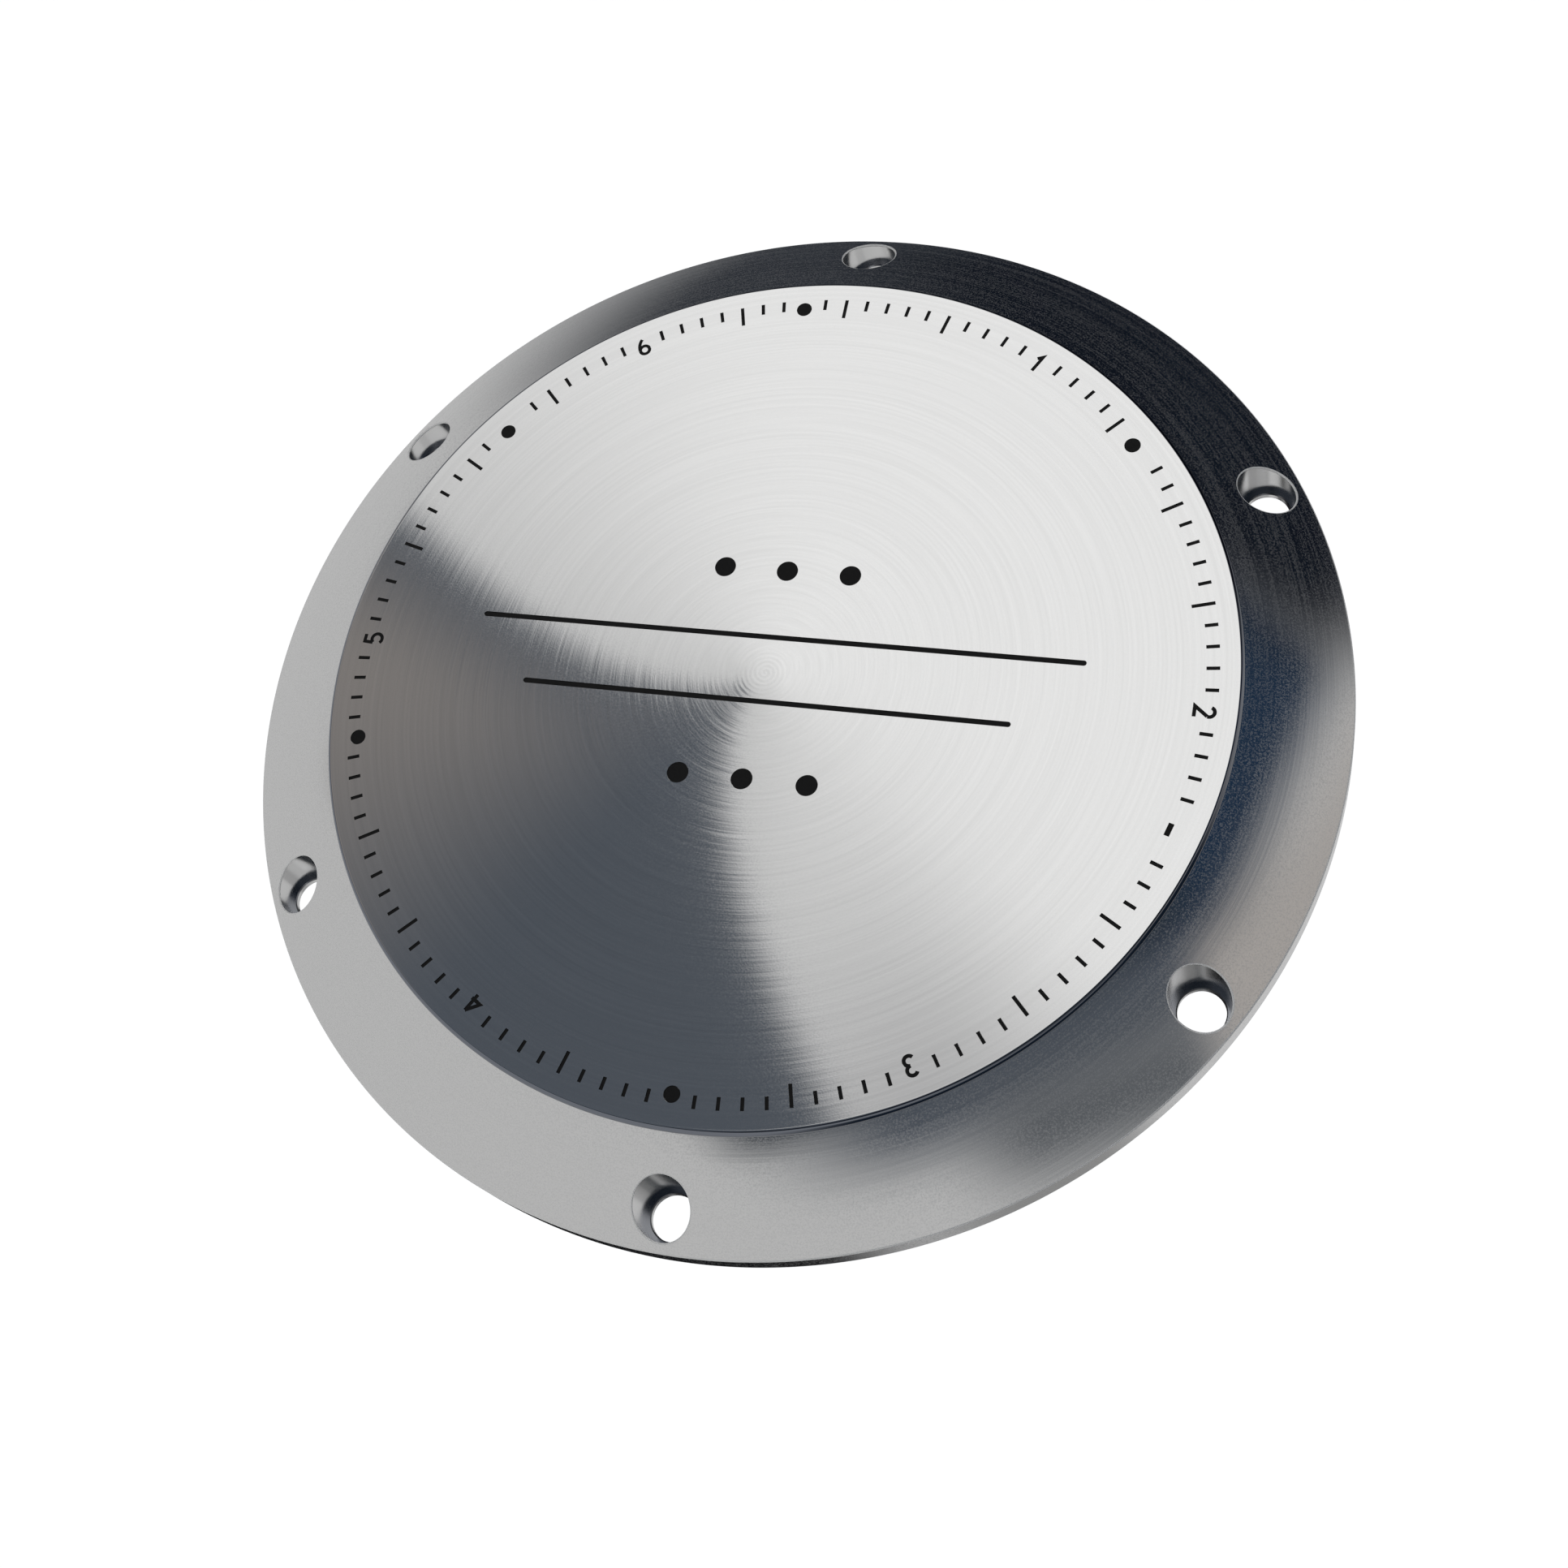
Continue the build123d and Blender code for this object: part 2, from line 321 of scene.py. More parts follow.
class CoverShape:
    """Every radius and height of the cover, worked out from the sizes."""

    def __init__(self):
        cover, hole, seal, mark = (
            settings(name) for name in ("cover_sizes", "hole_sizes", "gasket_sizes", "mark_sizes")
        )
        self.cover, self.hole, self.seal, self.mark = cover, hole, seal, mark
        self.rim = cover.overall_diameter / 2
        self.disc = self.rim - cover.flange_width
        self.cone_top = cover.face_height - cover.disc_step_height
        self.screw_circle = self.rim - hole.screw_edge_distance
        self.groove_outer = self.screw_circle - hole.screw_hole_diameter / 2 - seal.groove_land
        self.gasket_outer = self.groove_outer - seal.gasket_side_clearance
        self.gasket_inner = self.gasket_outer - seal.gasket_width
        self.groove_inner = self.gasket_inner - seal.gasket_side_clearance
        self.groove_depth = seal.gasket_thickness - seal.gasket_proud_height
        self.spigot = self.groove_inner - cover.spigot_shoulder
        self.recess = self.spigot - cover.spigot_wall
        self.recess_ceiling = cover.face_height - cover.plate_thickness
        self.ring = self.disc - mark.ring_mark_inset
        self.pocket_floor = cover.face_height - mark.mark_depth

    def flange(self, radius):
        """Height and slope of the flange at a radius: a straight fall plus a low parabolic crown,
        4 x crown x s x (1 - s) at the share s of the way from the disc to the rim."""
        share = (radius - self.disc) / self.cover.flange_width
        fall = self.cone_top - self.cover.rim_height
        crown = 4 * self.cover.flange_crown
        height = self.cone_top - fall * share + crown * share * (1 - share)
        slope = (-fall + crown * (1 - 2 * share)) / self.cover.flange_width
        return height, slope

    def flange_surface(self, flat):
        """Points and directions of the flange over flat places given as (x, y)."""
        radius = np.linalg.norm(flat, axis=-1, keepdims=True)
        height, slope = self.flange(radius)
        return raised(flat, height), unit(raised(-slope * flat / radius, 1.0))

    def seat_surface(self, flat):
        """Points and directions of the seat plane over flat places given as (x, y)."""
        return raised(flat, 0.0), raised(np.zeros_like(flat), -1.0)


def polar_grid(inner, outer, rows):
    """Flat places on a ring, (r cos a, r sin a), with a row for each radius from inner to outer."""
    return np.linspace(inner, outer, rows + 1)[:, None, None] * circle(SEGMENTS)


def hole_columns(shape):
    """The column of the ring's grid on which each screw hole's axis lies, the first hole on +Y."""
    step = SEGMENTS // shape.hole.screw_count
    return [(SEGMENTS // 4 + index * step) % SEGMENTS for index in range(shape.hole.screw_count)]


def patch_columns(shape):
    """Which columns of the ring's grid belong to the patch round a screw hole."""
    inside = np.zeros(SEGMENTS, bool)
    for middle in hole_columns(shape):
        inside[np.arange(middle - PATCH_HALF_SEGMENTS, middle + PATCH_HALF_SEGMENTS) % SEGMENTS] = True
    return inside


def patch_border(inner, outer, middle):
    """The border of one patch, as flat places in order round the hole: out, along, in and back."""
    ring = polar_grid(inner, outer, PATCH_ROWS)
    span = np.arange(middle - PATCH_HALF_SEGMENTS, middle + PATCH_HALF_SEGMENTS + 1) % SEGMENTS
    low, high, near, far = ring[:, span[0]], ring[:, span[-1]], ring[0, span], ring[-1, span]
    return np.concatenate([low[:-1], far[:-1], high[:0:-1], near[:0:-1]])


def screw_hole(shape, middle, inner, outer):
    """One stepped hole with the patches of flange and seat plane round it.

    Rings of points run round the hole's axis, one for each place on the patches' border. The mouth's
    round follows the flange: in each upright plane through the axis it is an arc that leaves the
    counterbore's wall upright and meets the flange along its slope.
    """
    hole = shape.hole
    axis = shape.screw_circle * circle(SEGMENTS)[middle]
    border = patch_border(inner, outer, middle)
    out = unit(border - axis)
    wall = hole.counterbore_diameter / 2
    bore = hole.screw_hole_diameter / 2
    broken = bore + hole.screw_hole_edge_break
    edge = hole.counterbore_edge_radius
    mouth, facing = shape.flange_surface(axis + out * wall)
    lean = -(facing[:, :2] * out).sum(axis=-1, keepdims=True) / facing[:, 2:]
    steep = np.sqrt(1 + lean**2)
    centre_height = mouth[:, 2:] + lean * edge - edge * steep
    reach = wall + edge - edge * lean / steep
    outer_ring = axis + out * reach
    flange_points, flange_facing = shape.flange_surface(outer_ring)
    turn = np.linspace(0, 1, ROUND_STEPS + 1)[:, None, None]
    rise = turn * (math.pi / 2 - np.arctan(lean))
    spoke_out, spoke_up = -np.cos(rise), np.sin(rise)
    round_flat = axis + out * (wall + edge + edge * spoke_out)
    round_height = centre_height + edge * spoke_up
    round_height = round_height + turn * (flange_points[:, 2:] - round_height[-1])
    rounds = raised(round_flat, round_height)
    upright = unit(raised(out * spoke_out, spoke_up))
    facing_rounds = unit((1 - turn) * upright + turn * flange_facing)
    share = np.linspace(0, 1, PATCH_RINGS + 1)[:, None, None]
    flange_patch = shape.flange_surface(outer_ring + (border - outer_ring) * share)
    seat_ring = axis + out * broken
    seat_patch = shape.seat_surface(seat_ring + (border - seat_ring) * share)
    surfaces = [
        quads(*flange_patch, wraps=True),
        quads(*seat_patch, wraps=True),
        # The mouth's round takes the rubbed finish, whose near-white colour is a painted highlight
        quads(rounds, facing_rounds, wraps=True, finish=RUBBED_HIGHLIGHT),
    ]
    bevel = math.sqrt(0.5)
    web = hole.counterbore_web
    chip = hole.screw_hole_edge_break
    # From place to place down the hole, given as distance from its axis and height, each stretch with
    # its direction away from the axis and upwards
    stretches = [
        ((wall, round_height[0]), (wall, web), (-1, 0), DRILLED),
        # The counterbore's floor and its bevel take the darker floor colour, painted shade
        ((wall, web), (broken, web), (0, 1), MILLED_SHADE),
        ((broken, web), (bore, web - chip), (-bevel, bevel), MILLED_SHADE),
        ((bore, web - chip), (bore, chip), (-1, 0), DRILLED),
        ((bore, chip), (broken, 0), (-bevel, -bevel), DRILLED),
    ]
    for start, end, (sideways, upwards), finish in stretches:
        points = np.stack([raised(axis + out * away, height) for away, height in (start, end)])
        facing = np.stack([raised(out * sideways, upwards)] * 2)
        surfaces.append(quads(points, facing, wraps=True, finish=finish))
    return surfaces


def straight_runs(corners, polished):
    """Straight stretches from corner to corner, brushed but for the ones whose places are listed."""
    return [
        (line(start, end), POLISHED if place in polished else BRUSHED)
        for place, (start, end) in enumerate(zip(corners, corners[1:]))
    ]


def cover_surfaces(shape):
    """Every surface of the cover but the disc's face, going round its half section."""
    cover = shape.cover
    rim, spigot, recess, ceiling = shape.rim, shape.spigot, shape.recess, shape.recess_ceiling
    groove_inner, groove_outer, depth = shape.groove_inner, shape.groove_outer, shape.groove_depth
    chamfer = cover.spigot_chamfer
    corner = cover.recess_corner_radius
    edge = cover.rim_edge_radius
    broken = cover.seat_edge_chamfer
    _, rim_slope = shape.flange(rim)
    rim_steep = math.sqrt(1 + rim_slope**2)
    rim_centre = (rim - edge, cover.rim_height - rim_slope * edge - edge * rim_steep)
    rim_turn = math.degrees(math.atan2(1, -rim_slope))
    rim_round, rim_facing = arc(rim_centre, edge, 0, rim_turn, ROUND_STEPS)
    cone_end = rim_round[-1, 0]
    rim_round[:, 1] += np.linspace(0, shape.flange(cone_end)[0] - rim_round[-1, 1], ROUND_STEPS + 1)
    relief = spigot - cover.spigot_relief_depth
    relief_top = -cover.spigot_relief_height
    recess_turn = (recess - corner, ceiling - corner)
    step_edge = cover.disc_edge_radius
    step_round = (shape.disc - step_edge, cover.face_height - step_edge)
    bottom = -cover.spigot_height
    inner = shape.disc + cover.flange_width * PATCH_INNER_SHARE
    outer = shape.disc + cover.flange_width * PATCH_OUTER_SHARE
    # Down the recess, round the spigot, through the relief and the groove and along the seat plane,
    # then from the screw holes to the rim: the chamfers are polished
    underside = [
        (recess, recess_turn[1]), (recess, bottom + chamfer), (recess + chamfer, bottom),
        (spigot - chamfer, bottom), (spigot, bottom + chamfer), (spigot, relief_top),
        (relief, relief_top), (relief, 0), (groove_inner, 0), (groove_inner, depth),
        (groove_outer, depth), (groove_outer, 0), (inner, 0),
    ]
    rim_side = [(outer, 0), (rim - broken, 0), (rim, broken), (rim, rim_centre[1])]
    stretches = [
        (line((0, ceiling), (recess_turn[0], ceiling), CEILING_STEPS), BRUSHED),
        (arc(recess_turn, corner, 90, 0, ROUND_STEPS, hollow=True), BRUSHED),
        *straight_runs(underside, polished=(1, 3)),
        *straight_runs(rim_side, polished=(1,)),
        # The rim's round takes the rubbed finish, whose near-white colour is a painted highlight
        ((rim_round, rim_facing), RUBBED_HIGHLIGHT),
        # The disc's step and the lower part of its round take the step's darker colour, painted shade
        (line((shape.disc, shape.cone_top), (shape.disc, step_round[1])), STEP),
        (arc(step_round, step_edge, 0, STEP_TURN, ROUND_STEPS), STEP),
        (arc(step_round, step_edge, STEP_TURN, 90, STRIP_STEPS), POLISHED),
    ]
    surfaces = [turned(stretch, SEGMENTS, finish) for stretch, finish in stretches]
    around = np.broadcast_to(~patch_columns(shape), (PATCH_ROWS, SEGMENTS))
    ring = polar_grid(inner, outer, PATCH_ROWS)
    within = polar_grid(shape.disc, inner, PATCH_ROWS)
    beyond = polar_grid(outer, cone_end, STRIP_STEPS)
    surfaces.append(quads(*shape.flange_surface(ring), wraps=True, keep=around))
    surfaces.append(quads(*shape.seat_surface(ring), wraps=True, keep=around))
    surfaces.append(quads(*shape.flange_surface(within), wraps=True))
    surfaces.append(quads(*shape.flange_surface(beyond), wraps=True))
    for middle in hole_columns(shape):
        surfaces += screw_hole(shape, middle, inner, outer)
    return surfaces


# Engraved marks, as flat outlines


def polygon(centre, radius, corners):
    """A round outline: centre + radius x (cos, sin) at even steps."""
    return np.array(centre) + radius * circle(corners)


def stroke(path, width):
    """The outline of a pen stroke: each point of the path moved half the width to either side.

    At a bend the two sides meet where their straight runs cross, so the stroke keeps its width.
    Like every outline here it runs anticlockwise.
    """
    run = unit(np.diff(path, axis=0))
    side = np.stack([-run[:, 1], run[:, 0]], axis=-1)
    before, after = np.vstack([side[:1], side]), np.vstack([side, side[-1:]])
    offset = (before + after) / (1 + (before * after).sum(axis=-1, keepdims=True)) * width / 2
    return np.vstack([path - offset, (path + offset)[::-1]])


def slot(length_over_all, width):
    """A long outline with round ends, lying along X."""
    reach = (length_over_all - width) / 2
    end = width / 2 * spokes(np.radians(np.linspace(-90, 90, RULE_END_POINTS)))
    return np.vstack([end + (reach, 0), -end - (reach, 0)])


def around_ring(outline, angle, radius):
    """Moves an outline up by the radius of the ring of marks, and turns it about the centre by the
    angle less 90 degrees, so that its top points outwards."""
    turn = math.radians(angle - 90)
    cosine, sine = math.cos(turn), math.sin(turn)
    x, y = outline[:, 0], outline[:, 1] + radius
    return np.stack([x * cosine - y * sine, x * sine + y * cosine], axis=-1)


# Numerals, in shares of their height: straight strokes through points, and arcs by centre, radius,
# start and sweep in degrees
NUMERAL_LINES = {
    1: [[(-0.2, 0.26), (0.02, 0.5), (0.02, -0.5)]],
    2: [[(0.24, 0.16), (-0.28, -0.5), (0.3, -0.5)]],
    3: [],
    4: [[(0.3, -0.2), (-0.32, -0.2), (0.14, 0.5)], [(0.14, 0.5), (0.14, -0.5)]],
    5: [[(0.24, 0.5), (-0.2, 0.5), (-0.24, 0.0)]],
    6: [],
}
NUMERAL_ARCS = {
    1: [],
    2: [((0.0, 0.24), 0.26, 160, -178)],
    3: [((0.0, 0.25), 0.25, 150, -240), ((0.0, -0.25), 0.25, 90, -240)],
    4: [],
    5: [((0.0, -0.2), 0.3, 138, -276)],
    6: [((0.0, -0.23), 0.27, 0, 180), ((0.0, -0.23), 0.27, 180, 180), ((0.6, -0.17), 0.87, 129, 54)],
}
NUMERAL_HALF_WIDTH = 0.32
ARC_STEPS = 24

# Where the ring's dots and its dash stand, in degrees from +X, and the two plain rules of the middle
RING_DOT_ANGLES = (41.0, 96.0, 143.2, 195.1, 270.0)
RING_DASH_ANGLE = -16.3
RULE_LENGTHS = (22.2 * MM, 17.8 * MM)
RULE_HEIGHTS = (1.4 * MM, -1.1 * MM)

# What the triangulation is told: to leave out all that lies in no outline, and within how many
# millimetres two points are one
ONLY_INSIDE = 1
JOIN_WITHIN = 1e-7


def numeral(number, height, width):
    """The pen strokes of one plain numeral."""
    strokes = [stroke(np.array(points) * height, width) for points in NUMERAL_LINES[number]]
    for centre, radius, start, sweep in NUMERAL_ARCS[number]:
        path, _ = arc(np.array(centre) * height, radius * height, start, start + sweep, ARC_STEPS)
        strokes.append(stroke(path, width))
    return strokes


def numeral_angle(shape, number):
    """Where a numeral stands in the ring: half way between two screw holes, the first past the top."""
    return 90 - 360 / shape.hole.screw_count * (number - 0.5)


def tick_marks(shape):
    """Angle and length of each tick of the scale, left out where another mark stands."""
    mark = shape.mark
    height = mark.ring_mark_height - mark.stroke_width
    numeral_room = NUMERAL_HALF_WIDTH * height + mark.stroke_width / 2
    taken = [(angle, mark.ring_dot_diameter / 2) for angle in RING_DOT_ANGLES]
    taken.append((RING_DASH_ANGLE, mark.ring_dash_length / 2))
    taken += [(numeral_angle(shape, number), numeral_room) for number in NUMERAL_LINES]
    room = mark.mark_spacing + mark.stroke_width / 2
    for index in range(mark.tick_count):
        angle = index * 360 / mark.tick_count
        apart = [math.radians(abs((angle - other + 180) % 360 - 180)) for other, _ in taken]
        if all(gap * shape.ring > half + room for gap, (_, half) in zip(apart, taken)):
            long_tick = index % mark.ticks_per_long_tick == 0
            yield angle, mark.ring_mark_height if long_tick else mark.short_tick_length


def mark_outlines(shape, ease):
    """The flat outlines of every mark by node, made smaller all round by the ease."""
    mark, ring = shape.mark, shape.ring
    width = mark.stroke_width - 2 * ease
    height = mark.ring_mark_height - mark.stroke_width
    upright = np.array([(-0.5, -0.5), (0.5, -0.5), (0.5, 0.5), (-0.5, 0.5)])
    dash = upright * (mark.ring_dash_length - 2 * ease, mark.ring_dash_width - 2 * ease)
    ticks = []
    for angle, tick_length in tick_marks(shape):
        tick = upright * (width, tick_length - 2 * ease)
        ticks.append(around_ring(tick + (0, (mark.ring_mark_height - tick_length) / 2), angle, ring))
    numerals = [
        around_ring(outline, numeral_angle(shape, number), ring)
        for number in NUMERAL_LINES
        for outline in numeral(number, height, width)
    ]
    ring_dot = polygon((0, 0), mark.ring_dot_diameter / 2 - ease, DOT_CORNERS)
    centre_dots = [
        polygon(
            (column * mark.centre_dot_pitch, row * mark.centre_dot_row_height),
            mark.centre_dot_diameter / 2 - ease, DOT_CORNERS,
        )
        for row in (1, -1)
        for column in (-1, 0, 1)
    ]
    rules = [
        slot(rule - 2 * ease, mark.rule_width - 2 * ease) + (0, rule_height)
        for rule, rule_height in zip(RULE_LENGTHS, RULE_HEIGHTS)
    ]
    return {
        "ring_dot_infill": [around_ring(ring_dot, angle, ring) for angle in RING_DOT_ANGLES],
        "ring_dash_infill": [around_ring(dash, RING_DASH_ANGLE, ring)],
        "scale_tick_infill": ticks,
        "sector_number_infill": numerals,
        "centre_dot_infill": centre_dots,
        "centre_rule_infill": rules,
    }


def triangulate(outlines):
    """Cuts the plane inside overlapping outlines into triangles, and says which outlines hold each."""
    points = np.vstack(outlines)
    starts = np.cumsum([0] + [len(outline) for outline in outlines])
    faces = [list(range(a, b)) for a, b in zip(starts[:-1], starts[1:])]
    # The library works best on numbers near one, so it gets millimetres
    flat, _, triangles, sources, _, holders = delaunay_2d_cdt(
        [Vector(point) for point in (points / MM).tolist()], [], faces, ONLY_INSIDE, JOIN_WITHIN
    )
    flat = np.array([tuple(point) for point in flat]) * MM
    known = [index for index, source in enumerate(sources) if source]
    flat[known] = points[[sources[index][0] for index in known]]
    return flat, np.array(triangles), holders


def level_faces(flat, triangles, height, upwards, finish=0):
    """Flat triangles at one height, as faces with their last corner doubled."""
    corners = raised(flat[triangles[:, [0, 1, 2, 2]]], height)
    return corners, np.broadcast_to((0.0, 0.0, upwards), corners.shape).copy(), finish


def upright_walls(flat, inside, low, high, inwards, finish=0):
    """Walls along the edges that only one of some triangles has, (x, y, low) to (x, y, high): they face
    inwards for a pocket and outwards for a solid."""
    edges = np.concatenate([inside[:, [0, 1]], inside[:, [1, 2]], inside[:, [2, 0]]])
    _, index, count = np.unique(np.sort(edges, axis=1), axis=0, return_index=True, return_counts=True)
    start, end = flat[edges[index[count == 1]]].transpose(1, 0, 2)
    around = ((start, low), (end, low), (end, high), (start, high))
    corners = np.stack([raised(place, height) for place, height in around], axis=1)
    run = unit(end - start)
    outward = raised(run[:, ::-1] * (1, -1), 0.0)
    facing = np.repeat((-outward if inwards else outward)[:, None], 4, axis=1)
    return corners, facing, finish


def disc_face(shape):
    """The disc's flat face with the floors and walls of every engraved pocket."""
    marks = [outline for group in mark_outlines(shape, 0).values() for outline in group]
    edge = polygon((0, 0), shape.disc - shape.cover.disc_edge_radius, SEGMENTS)
    flat, triangles, holders = triangulate([edge] + marks)
    engraved = np.array([len(held) > 1 for held in holders])
    floor, face = shape.pocket_floor, shape.cover.face_height
    return [
        level_faces(flat, triangles[~engraved], face, 1.0),
        level_faces(flat, triangles[engraved], floor, 1.0, DRILLED),
        upright_walls(flat, triangles[engraved], floor, face, True, DRILLED),
    ]


def lacquer_surfaces(outlines, low, high):
    """The lacquer of one group of marks: flat top and bottom with upright sides."""
    flat, triangles, _ = triangulate(outlines)
    return [
        level_faces(flat, triangles, high, 1.0),
        level_faces(flat, triangles, low, -1.0),
        upright_walls(flat, triangles, low, high, False),
    ]


def gasket_surfaces(shape):
    """The sealing ring: flat against the groove's floor, with two rounded edges to the case."""
    bead = shape.seal.gasket_bead_radius
    inner, outer = shape.gasket_inner, shape.gasket_outer
    top, bottom = shape.groove_depth, -shape.seal.gasket_proud_height
    stretches = [
        line((outer, top), (inner, top)),
        line((inner, top), (inner, bottom + bead)),
        arc((inner + bead, bottom + bead), bead, 180, 270, ROUND_STEPS),
        line((inner + bead, bottom), (outer - bead, bottom)),
        arc((outer - bead, bottom + bead), bead, 270, 360, ROUND_STEPS),
        line((outer, bottom + bead), (outer, top)),
    ]
    return [turned(stretch, SEGMENTS // 2) for stretch in stretches]


# Materials


def finish_colour(name):
    """One of the colours of the finishes, with alpha 1."""
    return tuple(getattr(settings("finishes"), name)) + (1.0,)


def add(tree, kind, inputs=None, **values):
    """Adds one shader node, sets its own values, fills its inputs with numbers or with the outputs of
    other nodes, and returns its outputs. Inputs 1 to 4 of a MapRange are the range that it reads and
    the one that it gives."""
    made = tree.nodes.new("ShaderNode" + kind)
    for name, value in values.items():
        setattr(made, name, value)
    for name, value in (inputs or {}).items():
        if isinstance(value, bpy.types.NodeSocket):
            tree.links.new(value, made.inputs[name])
        else:
            made.inputs[name].default_value = value
    return made.outputs


def new_material(name):
    """A node material and its tree, which is empty."""
    material = bpy.data.materials.new(name)
    material.use_nodes = True
    material.node_tree.nodes.clear()
    return material, material.node_tree


def turning_coordinates(tree):
    """Where a point lies for a lathe: its heading (x, y) / r from the axis, its radius r, its height
    z, and how far along the section it is, r - z."""
    place = add(tree, "TexCoord")["Object"]
    flat = add(tree, "VectorMath", {0: place, 1: (1, 1, 0)}, operation="MULTIPLY")[0]
    radius = add(tree, "VectorMath", {0: flat}, operation="LENGTH")["Value"]
    heading = add(tree, "VectorMath", {0: flat}, operation="NORMALIZE")[0]
    height = add(tree, "SeparateXYZ", {0: place})["Z"]
    along = add(tree, "Math", {0: radius, 1: height}, operation="SUBTRACT")[0]
    return heading, radius, height, along


def lathe_grain(tree, heading, along, spacing, spread):
    """Noise drawn out along the turning direction, seamless all round.

    The noise is read at (heading x spread, along / spacing): the spacing is the width of a groove,
    and a larger spread makes the grooves shorter.
    """
    turn = add(tree, "VectorMath", {0: heading, "Scale": spread}, operation="SCALE")[0]
    groove = add(tree, "Math", {0: along, 1: spacing}, operation="DIVIDE")[0]
    lift = add(tree, "CombineXYZ", {"Z": groove})[0]
    where = add(tree, "VectorMath", {0: turn, 1: lift}, operation="ADD")[0]
    noise = {"Vector": where, "Scale": 1.0, "Detail": 2.0, "Roughness": 0.6}
    return add(tree, "TexNoise", noise)["Fac"]


# The brushed grain: the widths of its fine and its broad grooves, one turn of the spiral at the
# centre, and the width of a speck. Real brushing leaves scratches some 0.04 mm apart and specks some
# 0.03 mm wide, too fine to show in the render: the fine grooves are drawn nearly three times and the
# specks twice as coarse.
FINE_GROOVE = 0.11 * MM
BROAD_GROOVE = 0.45 * MM
SPIRAL_TURN = 0.17 * MM
SPECK = 0.06 * MM

# How short the fine and the broad grooves are, the depth of the fine ones, and how many times as
# deep the others are
FINE_SPREAD = 1.1
BROAD_SPREAD = 0.7
GRAIN_DEPTH = 0.0007 * MM
BROAD_DEPTH = 2.5
SPIRAL_DEPTH = 0.8
SPECK_DEPTH = 0.3

# The spiral fades out between these radii
SPIRAL_FADE = (0.3 * MM, 1.3 * MM)

# Slopes by which the grooves lean outwards, as the tangents of 4.5 and 4.3 degrees: where the tool
# starts, and further out. The lean sets in up to the onset's radius, and changes between two others.
FIRST_LEAN = 0.079
GROOVE_LEAN = 0.075
LEAN_ONSET = 1.0 * MM
LEAN_CHANGE = (2.0 * MM, 6.0 * MM)

# Metal no further than this below the disc's face belongs to the disc
DISC_MARGIN = 0.01 * MM

# Specks: the stretch of their noise over which the metal turns rough, the roughness between them, and
# the most that one has on the flange and on the disc
SPECK_RANGE = (0.35, 0.7)
SMOOTHEST = 0.06
ROUGHEST_SPECK = (0.18, 0.1)

# Streaks: how much the spiral adds to them, the stretch of their noise from the darkest to the
# lightest, and the share of the steel's colour in the darkest, on the flange and on the disc, and in
# the lightest
SPIRAL_STREAKS = 0.16
STREAK_RANGE = (0.3, 0.7)
FAINTEST_STREAK = (0.99, 0.95)
BRIGHTEST_STREAK = 1.02

# Pits: how much the fine grooves add to the specks, the stretch of that noise over which the metal
# turns dull, and how metallic the dullest pit is on the flange and on the disc
PIT_STREAKS = 0.8
PIT_RANGE = (0.84, 1.02)
DULLEST_PIT = (0.87, 0.985)


